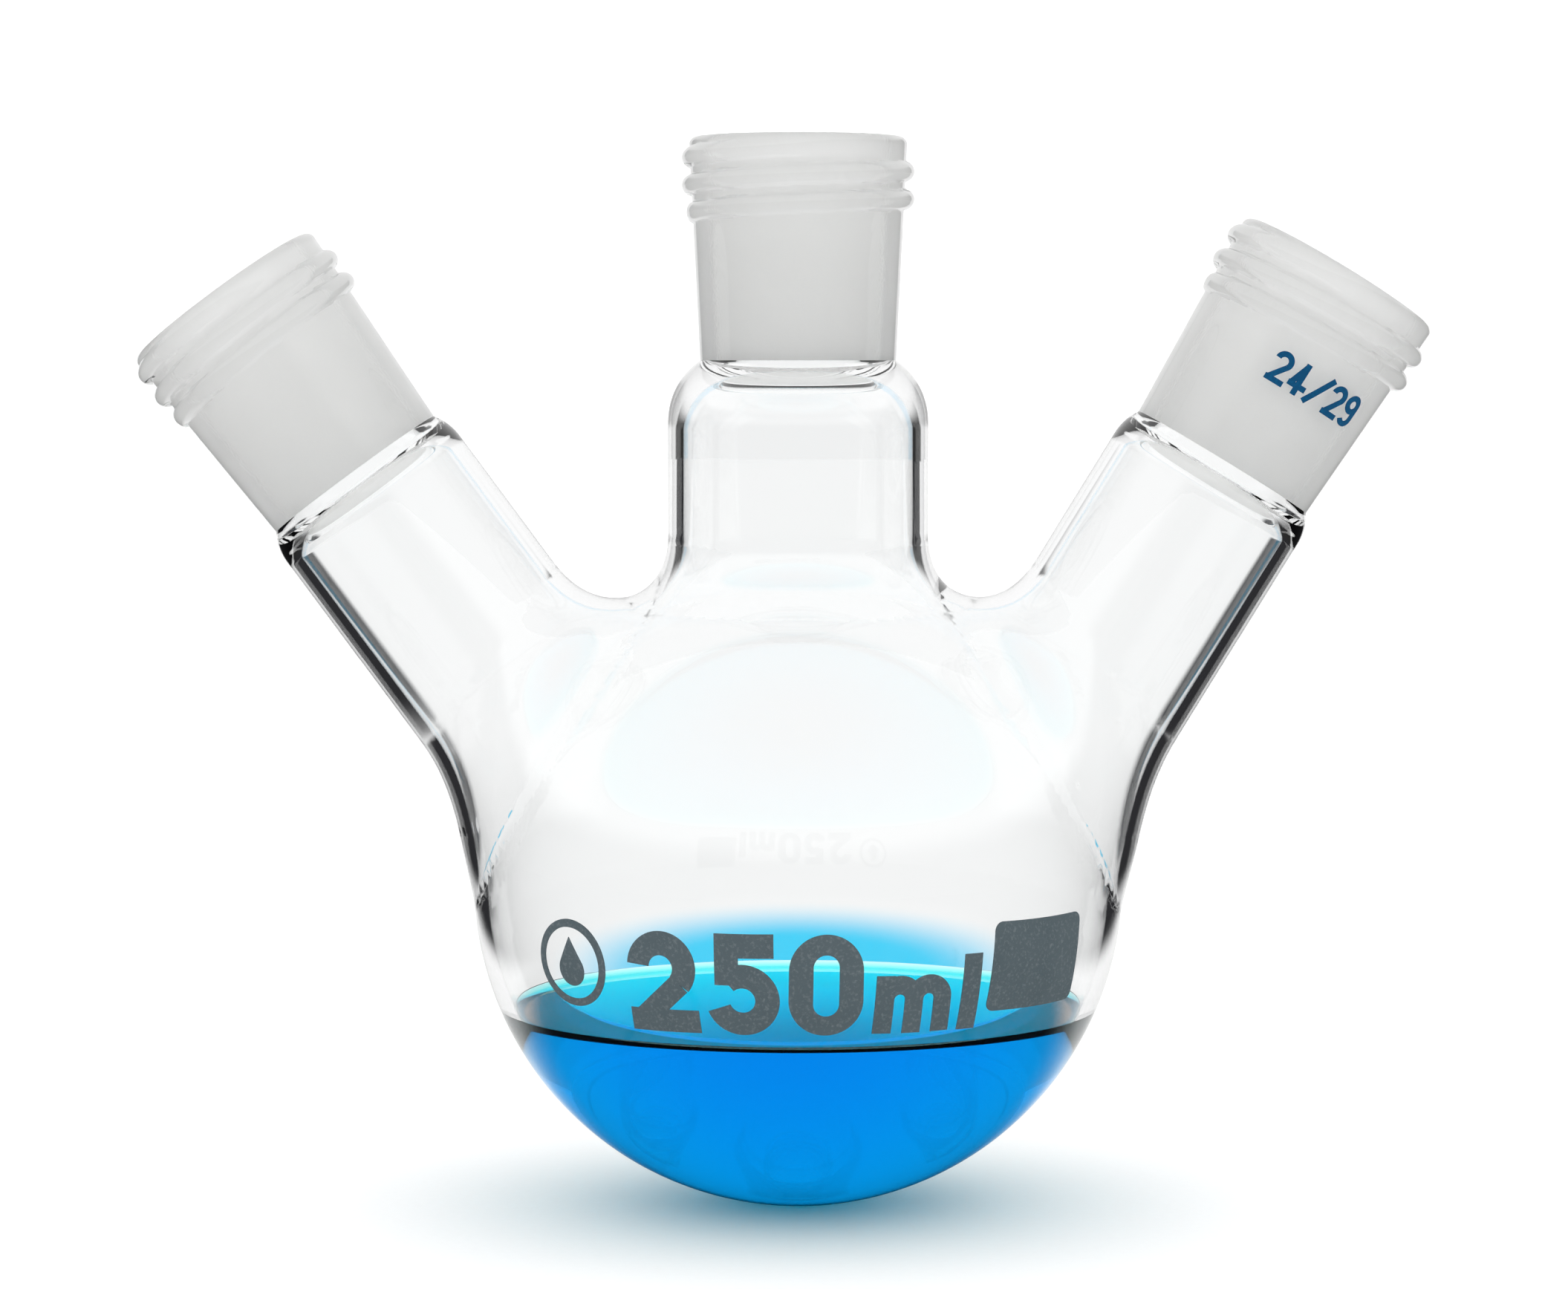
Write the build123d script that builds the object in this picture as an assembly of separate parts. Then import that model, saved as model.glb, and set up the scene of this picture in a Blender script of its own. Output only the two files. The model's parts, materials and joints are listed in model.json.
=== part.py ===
from build123d import *
import math
import os

# Three-neck round bottom flask, 250 ml, with 24/29 ground sockets that carry a screw thread.
# Millimetres, +Z up, +X to the right neck, -Y towards the printed front.
# The origin is the lowest point of the bulb, on the axis of the centre neck.

# ---------------------------------------------------------------- driving dimensions
# Bulb.
bulb_radius = 42.5
bulb_wall = 1.8
weld_fillet = 5.0  # outer blend between the bulb and each neck tube
inner_fillet = 3.0  # blend of the same corners on the inside
centre_collar = 7.5  # tube stub on the bulb, above the corner nearest the centre neck
side_collar = 15.0  # the same on each side neck
side_flare_radius = 22.0  # long sweep from the outer wall of a side tube into the bulb
side_flare_rest = 20.0  # degrees that the sweep leaves for the weld fillet to turn

# Neck tubes. A reach runs from the bulb's surface to the seam under the socket.
centre_tube_radius = 17.0
centre_tube_wall = 2.0
centre_reach = 29.3
centre_shoulder = 8.0  # height of the rounded shoulder under the centre socket
side_tube_radius = 14.0
side_tube_wall = 1.9
side_shoulder = 4.0
left_tilt = 36.4  # degrees from the vertical
left_reach = 34.8
right_tilt = 31.5
right_reach = 33.5
saddle_gap = 10.4  # along the bulb, between the centre tube and either side tube

# Ground sockets, size 24/29: 24 mm across the mouth, 29 mm long, taper 1 in 10.
joint_mouth = 24.0
joint_length = 29.0
joint_taper = 0.1
socket_wall = 2.25
rim_outer_round = 1.0
rim_inner_round = 0.6

# Screw thread outside each socket, right-handed, for a screw cap.
thread_pitch = 3.6
thread_turns = 2.25
thread_top = 1.8  # from the rim down to the middle of the highest ridge
thread_height = 0.9  # crest above the widest part of the wall
ridge_radius = 1.6  # the ridge is part of a round bead of this radius
thread_start_angle = 180.0

# Liquid.
liquid_level = 25.0  # above the lowest point of the bulb
meniscus_rise = 1.6
meniscus_width = 2.4

# Enamel prints on the bulb. Angles are round the bulb from the front, and below its equator.
print_thickness = 0.1
print_base_angle = 19.7  # baseline of the capacity print
digit_height = 13.0
digit_width = 9.2
digit_stroke = 3.0
digit_step_angle = 14.25
first_digit_angle = -23.9
unit_m_width = 10.0
unit_m_height = 7.6
unit_m_stroke = 2.4
unit_m_angle = 20.0
unit_l_width = 2.6
unit_l_height = 9.9
unit_l_angle = 30.8
patch_width = 15.9
patch_height = 11.5
patch_corner = 1.2
patch_angle = 45.7
patch_base_angle = 17.0
mark_ring_radius = 5.6
mark_ring_stroke = 1.0
mark_drop_radius = 2.1
mark_angle = -42.5
mark_drop_angle = 9.0

# Size print on the right socket.
label_height = 4.4
label_width = 2.6
label_stroke = 0.76
label_step = 2.95
label_base = 11.6  # above the seam
label_turn = 19.5  # degrees round the socket from the front, to the middle of the print

# ---------------------------------------------------------------- derived sizes
bulb_centre = Vector(0, 0, bulb_radius)
bulb_bore = bulb_radius - bulb_wall
bore_small = joint_mouth / 2 - joint_length * joint_taper / 2
bore_large = joint_mouth / 2
base_radius = bore_small + socket_wall
rim_radius = bore_large + socket_wall
thread_crest_radius = rim_radius + thread_height
MARGIN = 5.0  # overrun of a cutting shape past what it cuts


class Neck:
    """One neck: its frame on the bulb and the heights along its axis, from the frame's origin."""

    def __init__(self, name, tilt, radius, wall, collar, reach, shoulder):
        self.name = name
        self.radius = radius
        self.bore = radius - wall
        self.shoulder = shoulder
        turn = math.radians(tilt)
        self.axis = Vector(math.sin(turn), 0, math.cos(turn))
        self.across = Vector(math.cos(turn), 0, -math.sin(turn))
        self.offset = self.axis_offset(abs(turn))
        side = math.copysign(1.0, tilt)
        origin = bulb_centre + self.across * (side * self.offset)
        self.frame = Plane(origin=origin, x_dir=self.across, z_dir=self.axis)
        # The tube's wall nearest the centre neck leaves the bulb at this height.
        self.corner = math.sqrt(bulb_radius**2 - (self.offset - radius) ** 2)
        self.weld = self.corner + collar
        # Its wall farthest from the centre neck would meet the bulb at an angle, lower down.
        outer_polar = math.asin((self.offset + radius) / bulb_radius)
        outer_corner = bulb_radius * math.cos(outer_polar)
        outer_turn = math.radians(90) - outer_polar
        # The sweep takes at most the wall between the two corners.
        longest_sweep = 0.95 * (self.corner - outer_corner) / math.tan(outer_turn / 2)
        self.flare_radius = min(side_flare_radius, longest_sweep)
        self.flare = outer_corner + self.flare_radius * math.tan(outer_turn / 2)
        self.flare_turn = outer_turn - math.radians(side_flare_rest)
        self.seam = self.corner + reach
        self.rim = self.seam + joint_length

    def axis_offset(self, turn):
        """Distance from the bulb's centre to the neck's axis. The centre neck has none."""
        if turn == 0:
            return 0.0
        centre_edge = math.asin(centre_tube_radius / bulb_radius)
        inner_edge = centre_edge + saddle_gap / bulb_radius
        return self.radius + bulb_radius * math.sin(inner_edge - turn)


def all_necks():
    """The three necks, left to right."""
    side = (side_tube_radius, side_tube_wall, side_collar)
    centre = (centre_tube_radius, centre_tube_wall, centre_collar)
    return [
        Neck("left", -left_tilt, *side, left_reach, side_shoulder),
        Neck("centre", 0.0, *centre, centre_reach, centre_shoulder),
        Neck("right", right_tilt, *side, right_reach, side_shoulder),
    ]


# ---------------------------------------------------------------- glass
def revolved(edges):
    """A solid turned about the local Z axis from a closed outline in the XZ plane."""
    return revolve(make_face(edges), Axis.Z)


def tube_stub(neck, tube_radius, height):
    """Solid stub of a neck tube. A side stub flares where its outer wall sweeps into the bulb."""
    if neck.offset == 0:
        return Cylinder(tube_radius, height, align=(Align.CENTER, Align.CENTER, Align.MIN))
    turn = neck.flare_turn
    sweep_radius = neck.flare_radius + neck.radius - tube_radius
    centre = tube_radius + sweep_radius

    def on_sweep(angle):
        return (centre - sweep_radius * math.cos(angle), 0, neck.flare - sweep_radius * math.sin(angle))

    end_x, _, end_z = on_sweep(turn)
    # The flare runs on straight to its point nearest the bulb's centre, well inside the bulb.
    run_in = end_z * math.cos(turn) - (neck.offset + end_x) * math.sin(turn)
    foot = (end_x + run_in * math.sin(turn), 0, end_z - run_in * math.cos(turn))
    outline = [
        Line((tube_radius, 0, height), (tube_radius, 0, neck.flare)),
        ThreePointArc(on_sweep(0), on_sweep(turn / 2), on_sweep(turn)),
        Polyline(on_sweep(turn), foot, (0, 0, foot[2]), (0, 0, height), (tube_radius, 0, height)),
    ]
    return revolved(outline)


def blended_body(necks, sphere_radius, tube_radius_of, fillet_radius, overrun):
    """A sphere with a tube stub for each neck, rounded where the tubes meet the sphere."""
    body = Pos(*bulb_centre) * Sphere(sphere_radius)
    for neck in necks:
        body += neck.frame * tube_stub(neck, tube_radius_of(neck), neck.weld + overrun)
    return fillet(weld_lines(body), fillet_radius)


def weld_lines(body):
    """The closed lines where the tubes leave the sphere."""
    ball_edges = []
    tube_edges = []
    for face in body.faces():
        if face.geom_type == GeomType.SPHERE:
            ball_edges += face.edges()
        else:
            tube_edges += face.edges()
    return [edge for edge in ball_edges if any(edge.is_same(other) for other in tube_edges)]


def make_bulb(necks):
    """Blown bulb with its three tube stubs, hollow, cut square at the weld planes."""
    outside = blended_body(necks, bulb_radius, lambda neck: neck.radius, weld_fillet, 0.0)
    inside = blended_body(necks, bulb_bore, lambda neck: neck.bore, inner_fillet, MARGIN)
    return outside - inside


def shoulder_arc(tube, seam, bottom, top):
    """Arc that leaves the tube's wall upright at the bottom and turns to the seam's radius."""
    step = abs(tube - seam)
    height = top - bottom
    if step < 0.001:
        return Line((tube, 0, bottom), (seam, 0, top))
    arc_radius = (step**2 + height**2) / (2 * step)
    middle = math.atan2(height, arc_radius - step) / 2
    inward = math.copysign(1.0, tube - seam)
    through_x = tube - inward * arc_radius * (1 - math.cos(middle))
    through = (through_x, 0, bottom + arc_radius * math.sin(middle))
    return ThreePointArc((tube, 0, bottom), through, (seam, 0, top))


def make_neck(neck):
    """Neck tube from the weld plane to the seam, with its rounded shoulder."""
    turn_in = neck.seam - neck.shoulder
    outer = shoulder_arc(neck.radius, base_radius, turn_in, neck.seam)
    inner = shoulder_arc(neck.bore, bore_small, turn_in, neck.seam)
    outline = [
        Line((neck.radius, 0, neck.weld), (neck.radius, 0, turn_in)),
        outer,
        Line((base_radius, 0, neck.seam), (bore_small, 0, neck.seam)),
        inner,
        Line((neck.bore, 0, turn_in), (neck.bore, 0, neck.weld)),
        Line((neck.bore, 0, neck.weld), (neck.radius, 0, neck.weld)),
    ]
    return neck.frame * revolved(outline)


def socket_body():
    """Tapered socket standing on its seam, with a fire-polished rim."""
    outline = Polyline(
        (bore_small, 0, 0),
        (base_radius, 0, 0),
        (rim_radius, 0, joint_length),
        (bore_large, 0, joint_length),
        close=True,
    )
    body = revolved(outline.edges())
    rim_edges = body.edges().filter_by(GeomType.CIRCLE).group_by(Axis.Z)[-1].sort_by(SortBy.RADIUS)
    body = fillet(rim_edges[-1], rim_outer_round)
    rim_edges = body.edges().filter_by(GeomType.CIRCLE).group_by(Axis.Z)[-1].sort_by(SortBy.RADIUS)
    return fillet(rim_edges[0], rim_inner_round)


def thread_bead():
    """Round bead on a right-handed helix. Its outer half stands out of the socket as the ridge."""
    height = thread_turns * thread_pitch
    path = Helix(thread_pitch, height, thread_crest_radius - ridge_radius)
    profile = Plane(origin=path @ 0, z_dir=path % 0) * Circle(ridge_radius)
    bead = sweep(profile, path=path, is_frenet=True)
    return Pos(0, 0, joint_length - thread_top - height) * Rot(0, 0, thread_start_angle) * bead


def make_socket(neck):
    """Ground socket with its screw thread, in place on a neck."""
    bore = revolved(
        Polyline(
            (0, 0, -MARGIN),
            (bore_small - MARGIN * joint_taper / 2, 0, -MARGIN),
            (bore_large, 0, joint_length),
            (0, 0, joint_length),
            close=True,
        ).edges()
    )
    threaded = socket_body() + (thread_bead() - bore)
    return neck.frame * Pos(0, 0, neck.seam) * threaded


# ---------------------------------------------------------------- liquid
def make_liquid():
    """Liquid that fills the bulb to its level, with a meniscus that climbs the wall."""
    contact = liquid_level + meniscus_rise
    contact_radius = math.sqrt(bulb_bore**2 - (contact - bulb_radius) ** 2)
    flat_radius = contact_radius - meniscus_width
    curl = (meniscus_width**2 + meniscus_rise**2) / (2 * meniscus_rise)
    half = math.asin(meniscus_width / curl) / 2
    through = (flat_radius + curl * math.sin(half), 0, liquid_level + curl * (1 - math.cos(half)))
    climb = math.acos((bulb_radius - contact) / bulb_bore)  # from the bottom round to the contact line
    wall_x = bulb_bore * math.sin(climb / 2)
    wall_z = bulb_radius - bulb_bore * math.cos(climb / 2)
    outline = [
        ThreePointArc((0, 0, bulb_wall), (wall_x, 0, wall_z), (contact_radius, 0, contact)),
        ThreePointArc((contact_radius, 0, contact), through, (flat_radius, 0, liquid_level)),
        Line((flat_radius, 0, liquid_level), (0, 0, liquid_level)),
        Line((0, 0, liquid_level), (0, 0, bulb_wall)),
    ]
    return revolved(outline)


# ---------------------------------------------------------------- figures and letters
def bar(start, end, stroke):
    """Straight stroke with square ends."""
    run = Vector(*end) - Vector(*start)
    middle = (Vector(*start) + Vector(*end)) * 0.5
    angle = math.degrees(math.atan2(run.Y, run.X))
    return Pos(middle.X, middle.Y) * Rot(0, 0, angle) * Rectangle(run.length, stroke)


def bow(centre, radius, stroke, start, turn):
    """Part of a ring, drawn from one angle through a turn."""
    outer = CenterArc(centre, radius + stroke / 2, start, turn)
    inner = CenterArc(centre, radius - stroke / 2, start, turn)
    ends = [Line(outer @ 0, inner @ 0), Line(outer @ 1, inner @ 1)]
    return make_face([outer, inner] + ends)


def figure_0(width, height, stroke):
    outer = Pos(0, height / 2) * SlotOverall(height, width, rotation=90)
    inner = Pos(0, height / 2) * SlotOverall(height - 1.7 * stroke, width - 2 * stroke, rotation=90)
    return outer - inner


def figure_2(width, height, stroke):
    radius = (width - stroke) / 2
    top = height - width / 2
    foot = Pos(0, stroke / 2) * Rectangle(width, stroke)
    hook = bow((0, top), radius, stroke, -40, 215)
    turn = math.radians(-40)
    start = (radius * math.cos(turn), top + radius * math.sin(turn))
    end = (-width / 2 + stroke * 0.5, stroke * 0.5)
    slope = bar(start, end, stroke * 0.95)
    heel = Pos(end[0], end[1]) * Rectangle(stroke, stroke)
    return foot + hook + slope + heel


def figure_4(width, height, stroke):
    stem_x = width / 2 - 1.6 * stroke
    cross_y = height * 0.28
    stem = bar((stem_x, 0), (stem_x, height), stroke)
    cross = bar((-width / 2, cross_y), (width / 2, cross_y), stroke)
    slope = bar((-width / 2 + stroke / 2, cross_y), (stem_x, height - stroke / 2), stroke)
    return stem + cross + slope


def figure_5(width, height, stroke):
    radius = (width - stroke) / 2
    bowl = bow((0, width / 2), radius, stroke, -160, 290)
    left = -width / 2 + stroke * 0.9
    stem = bar((left, width / 2 + radius * 0.62), (left, height), stroke)
    flag_y = height - stroke / 2
    flag = bar((left - stroke / 2, flag_y), (width / 2 - stroke * 0.2, flag_y), stroke)
    return bowl + stem + flag


def figure_9(width, height, stroke):
    radius = (width - stroke) / 2
    top = height - width / 2
    loop = Pos(0, top) * (Circle(radius + stroke / 2) - Circle(radius - stroke / 2))
    stem = bar((radius, top), (radius, width / 2), stroke)
    tail = bow((0, width / 2), radius, stroke, 0, -150)
    return loop + stem + tail


def slash(width, height, stroke):
    return bar((-width / 2, 0), (width / 2, height), stroke)


def letter_m(width, height, stroke):
    radius = (width - stroke) / 4
    top = height - radius - stroke / 2
    shape = bar((-2 * radius, 0), (-2 * radius, height), stroke)
    for side in (-1, 1):
        leg_x = (side + 1) * radius
        shape += bow((side * radius, top), radius, stroke, 0, 180)
        shape += bar((leg_x, 0), (leg_x, top), stroke)
    return shape


# ---------------------------------------------------------------- prints
def bulb_print(sketch, round_angle, down_angle):
    """Thin enamel on the bulb. The sketch's origin lands at the two angles, its Y runs up."""
    a = math.radians(round_angle)
    d = math.radians(down_angle)
    outward = Vector(math.sin(a) * math.cos(d), -math.cos(a) * math.cos(d), -math.sin(d))
    sideways = Vector(math.cos(a), math.sin(a), 0)
    plane = Plane(origin=bulb_centre, x_dir=sideways, z_dir=outward)
    prism = extrude(plane * sketch, bulb_radius + MARGIN)
    skin = Pos(*bulb_centre) * (Sphere(bulb_radius + print_thickness) - Sphere(bulb_radius))
    return (prism & skin).solids()


def raised_angle(height):
    """Angle below the equator of the middle of something that stands on the print's baseline."""
    return print_base_angle - math.degrees(height / 2 / bulb_radius)


def centred(shape, height):
    """Moves a shape that stands on Y = 0 so that its middle is at the sketch's origin."""
    return Pos(0, -height / 2) * shape


def make_capacity_numerals():
    """The figures 2, 5 and 0."""
    solids = []
    for place, figure in enumerate((figure_2, figure_5, figure_0)):
        shape = centred(figure(digit_width, digit_height, digit_stroke), digit_height)
        angle = first_digit_angle + place * digit_step_angle
        solids += bulb_print(shape, angle, raised_angle(digit_height))
    return Compound(children=solids)


def make_capacity_unit():
    """The letters m and l, for millilitres."""
    m_shape = centred(letter_m(unit_m_width, unit_m_height, unit_m_stroke), unit_m_height)
    l_shape = Rectangle(unit_l_width, unit_l_height)
    solids = bulb_print(m_shape, unit_m_angle, raised_angle(unit_m_height))
    solids += bulb_print(l_shape, unit_l_angle, raised_angle(unit_l_height))
    return Compound(children=solids)


def make_write_on_patch():
    """Matt panel to write on with a pencil."""
    panel = RectangleRounded(patch_width, patch_height, patch_corner)
    middle = patch_base_angle - math.degrees(patch_height / 2 / bulb_radius)
    return Compound(children=bulb_print(panel, patch_angle, middle))


def make_droplet_mark():
    """Plain ring with a drop in it."""
    ring = Circle(mark_ring_radius) - Circle(mark_ring_radius - mark_ring_stroke)
    tip = mark_drop_radius * 2.0
    touch = math.asin(mark_drop_radius / tip)
    side_x = mark_drop_radius * math.cos(touch)
    side_y = mark_drop_radius * math.sin(touch)
    cap = make_face(Polyline((-side_x, side_y), (side_x, side_y), (0, tip), close=True).edges())
    drop = Pos(0, -mark_drop_radius * 0.4) * (Circle(mark_drop_radius) + cap)
    return Compound(children=bulb_print(ring + drop, mark_angle, mark_drop_angle))


def make_joint_size_mark(neck):
    """The joint size 24/29, printed round the socket."""
    low = label_base - MARGIN
    high = label_base + label_height + MARGIN

    def wall_radius(level):
        return base_radius + level * joint_taper / 2

    outline = Polyline(
        (wall_radius(low), 0, low),
        (wall_radius(low) + print_thickness, 0, low),
        (wall_radius(high) + print_thickness, 0, high),
        (wall_radius(high), 0, high),
        close=True,
    )
    skin = revolved(outline.edges())
    middle_radius = wall_radius(label_base + label_height / 2)
    step_angle = math.degrees(label_step / middle_radius)
    figures = (figure_2, figure_4, slash, figure_2, figure_9)
    solids = []
    for place, figure in enumerate(figures):
        a = math.radians(label_turn + (place - (len(figures) - 1) / 2) * step_angle)
        outward = Vector(math.sin(a), -math.cos(a), 0)
        sideways = Vector(math.cos(a), math.sin(a), 0)
        plane = Plane(origin=(0, 0, label_base), x_dir=sideways, z_dir=outward)
        prism = extrude(plane * figure(label_width, label_height, label_stroke), rim_radius + MARGIN)
        solids += (prism & skin).solids()
    placed = [neck.frame * Pos(0, 0, neck.seam) * solid for solid in solids]
    return Compound(children=placed)


# ---------------------------------------------------------------- assembly
def build_nodes():
    """Every node of the flask by name."""
    necks = all_necks()
    nodes = {"bulb": make_bulb(necks), "blue_liquid": make_liquid()}
    for neck in necks:
        nodes[neck.name + "_neck"] = make_neck(neck)
        nodes[neck.name + "_socket"] = make_socket(neck)
    nodes["capacity_numerals"] = make_capacity_numerals()
    nodes["capacity_unit"] = make_capacity_unit()
    nodes["write_on_patch"] = make_write_on_patch()
    nodes["droplet_mark"] = make_droplet_mark()
    nodes["joint_size_mark"] = make_joint_size_mark(necks[-1])
    return nodes


os.makedirs("parts", exist_ok=True)
for node_name, shape in build_nodes().items():
    export_step(shape, os.path.join("parts", node_name + ".step"))
    print(f"{node_name}: {len(shape.solids())} solids, {shape.volume:.1f} mm3")
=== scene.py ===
# %% [markdown]
# A three-neck round bottom flask of 250 ml, part-filled with a blue liquid. On the real object a
# blown bulb carries three tubes, and each tube ends in a ground socket with a screw thread round it.
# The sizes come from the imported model, so every glass piece below lands where the design has it.
# %% Load the frame
import json
import math

import bmesh
import bpy
import numpy as np
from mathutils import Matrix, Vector

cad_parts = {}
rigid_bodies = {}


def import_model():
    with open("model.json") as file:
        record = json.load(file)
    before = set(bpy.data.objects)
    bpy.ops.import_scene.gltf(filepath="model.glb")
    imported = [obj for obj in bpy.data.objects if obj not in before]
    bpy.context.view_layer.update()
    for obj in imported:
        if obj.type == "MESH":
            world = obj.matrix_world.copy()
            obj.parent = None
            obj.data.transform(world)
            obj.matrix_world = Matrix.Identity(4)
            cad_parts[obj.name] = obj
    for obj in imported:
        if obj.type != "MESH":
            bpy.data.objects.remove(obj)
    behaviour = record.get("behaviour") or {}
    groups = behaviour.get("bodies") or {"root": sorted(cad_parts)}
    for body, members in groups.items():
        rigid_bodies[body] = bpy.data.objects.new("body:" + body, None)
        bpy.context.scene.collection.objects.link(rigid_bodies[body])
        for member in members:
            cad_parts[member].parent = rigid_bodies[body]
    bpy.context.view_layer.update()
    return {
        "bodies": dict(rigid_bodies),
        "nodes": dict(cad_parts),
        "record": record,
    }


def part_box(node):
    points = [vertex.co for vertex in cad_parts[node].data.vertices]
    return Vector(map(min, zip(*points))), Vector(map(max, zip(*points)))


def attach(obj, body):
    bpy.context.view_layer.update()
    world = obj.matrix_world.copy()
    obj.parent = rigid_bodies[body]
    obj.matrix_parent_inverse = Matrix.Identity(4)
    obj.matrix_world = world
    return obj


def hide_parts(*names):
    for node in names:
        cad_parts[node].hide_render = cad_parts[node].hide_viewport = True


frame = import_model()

MM = 0.001
print("nodes:", ", ".join(sorted(frame["nodes"])))

# %% [markdown]
# First the sizes of the body. What the frame states is read from its mounts and boxes, so that it is
# written only once. The walls and the sweep of the welds are not stated there, so they are named here.
# %% Sizes of the body
mounts = {mount["name"]: mount for mount in frame["record"]["mounts"]}


def mount_size(name, key):
    """One size of a mount, in metres."""
    return mounts[name]["dims"][key] * MM


ball_radius = mount_size("round_bottom_seat", "r_mm")
ball_centre = np.array([0.0, 0.0, ball_radius])
ball_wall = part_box("blue_liquid")[0].z
centre_wall = 2.0 * MM
side_wall = 1.9 * MM
centre_shoulder = 8.0 * MM  # height of the rounded shoulder under the socket
side_shoulder = 4.0 * MM
sweep_radius = 22.0 * MM  # long sweep from the outer wall of a side tube into the bulb
sweep_rest = math.radians(20.0)  # turn that the sweep leaves to the weld
sweep_room = 0.95  # share of the room beside the bulb that a sweep may take
centre_blend = 6.0 * MM  # how far the soft weld reaches on each side
side_blend = 10.5 * MM
print("bulb radius", ball_radius, "wall", round(ball_wall, 5))

# %% [markdown]
# Next the sizes of a socket. Such joints are made to a standard: the bore narrows by 1 in 10, so any
# cone of the same size seals in it. The screw thread outside is named by its pitch and its ridge.
# %% Sizes of a socket
joint_length = mount_size("centre_joint", "length_mm")
bore_large = mount_size("centre_joint", "r_mm")
joint_taper = 0.1
bore_small = bore_large - joint_length * joint_taper / 2
socket_wall = 2.25 * MM
rim_outer_round = 1.0 * MM
rim_inner_round = 0.6 * MM

thread_crest = mount_size("centre_cap_thread", "r_mm")
thread_rise = mount_size("centre_cap_thread", "length_mm")
thread_pitch = 3.6 * MM
thread_top = 1.8 * MM  # from the rim down to the middle of the highest ridge
ridge_radius = 1.35 * MM
ridge_melt = 0.35 * MM  # how softly the ridge runs into the wall
thread_start = math.pi  # angle round the socket where the ridge starts, at its lowest
print("bore", bore_large, "to", round(bore_small, 5), "over", joint_length, "thread crest", thread_crest)


# %% [markdown]
# Each neck has its own frame: an axis, a sideways direction and heights along the axis. They follow
# from the place and direction of its joint. The tube of a side neck sweeps into the bulb on its outer
# side, because the glassblower pulls the hot glass outwards there.
# %% The three necks
class Neck:
    """One neck: its axis and its heights above the bulb's centre."""

    def __init__(self, name, wall, shoulder, blend):
        joint = mounts[name + "_joint"]
        low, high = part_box(name + "_neck")
        self.name = name
        self.wall = wall
        self.shoulder = shoulder
        self.blend = blend
        self.axis = np.array(joint["axis"])
        self.across = np.array([self.axis[2], 0.0, -self.axis[0]])
        self.radius = (high.y - low.y) / 2
        rim_from_centre = np.array(joint["pos_m"]) - ball_centre
        shift = float(rim_from_centre @ self.across)
        self.origin = ball_centre + self.across * shift
        self.offset = abs(shift)
        self.rim = float(rim_from_centre @ self.axis)
        self.seam = self.rim - joint_length
        lean = abs(self.axis[0])
        self.weld = (low.z - ball_radius + (self.offset + self.radius) * lean) / self.axis[2]
        self.sweep_from_corners()

    def sweep_from_corners(self):
        """Where the outer wall starts to sweep out, how far it turns, and where it has met the bulb."""
        corner = math.sqrt(ball_radius**2 - (self.offset - self.radius) ** 2)
        outer_polar = math.asin((self.offset + self.radius) / ball_radius)
        outer_turn = math.pi / 2 - outer_polar
        outer_corner = ball_radius * math.cos(outer_polar)
        longest = sweep_room * (corner - outer_corner) / math.tan(outer_turn / 2)
        on_middle = self.offset < 1.0 * MM  # a tube over the middle of the bulb has no sweep
        self.sweep = 0.0 if on_middle else min(sweep_radius, longest)
        self.turn = outer_turn - sweep_rest
        self.flare = outer_corner + self.sweep * math.tan(outer_turn / 2)

    def place(self, radius, angle, height):
        """The point at a radius, an angle and a height of this neck."""
        sideways = self.across * math.cos(angle) + np.array([0.0, 1.0, 0.0]) * math.sin(angle)
        return self.origin + sideways * radius + self.axis * height


necks = [
    Neck("left", side_wall, side_shoulder, side_blend),
    Neck("centre", centre_wall, centre_shoulder, centre_blend),
    Neck("right", side_wall, side_shoulder, side_blend),
]
for neck in necks:
    print(f"{neck.name}: tube {neck.radius:.4f} weld {neck.weld:.4f} seam {neck.seam:.4f} rim {neck.rim:.4f}")

# %% [markdown]
# The camera looks along +Y from a little above the shoulders, as for a catalogue. Its lens is long, so
# that the side necks keep their true slant: a short lens close by would splay them.
# %% Camera
camera_place = (-1.84 * MM, -0.58, 0.112)
looks_down = math.radians(3.79)

camera_data = bpy.data.cameras.new("catalogue_camera")
camera_data.lens = 101.9
camera_data.sensor_width = 36.0
camera = bpy.data.objects.new("catalogue_camera", camera_data)
camera.location = camera_place
camera.rotation_euler = (math.radians(90.0) - looks_down, 0.0, 0.0)
bpy.context.collection.objects.link(camera)
bpy.context.scene.camera = camera
print("camera at", tuple(round(value, 4) for value in camera.location))


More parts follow.
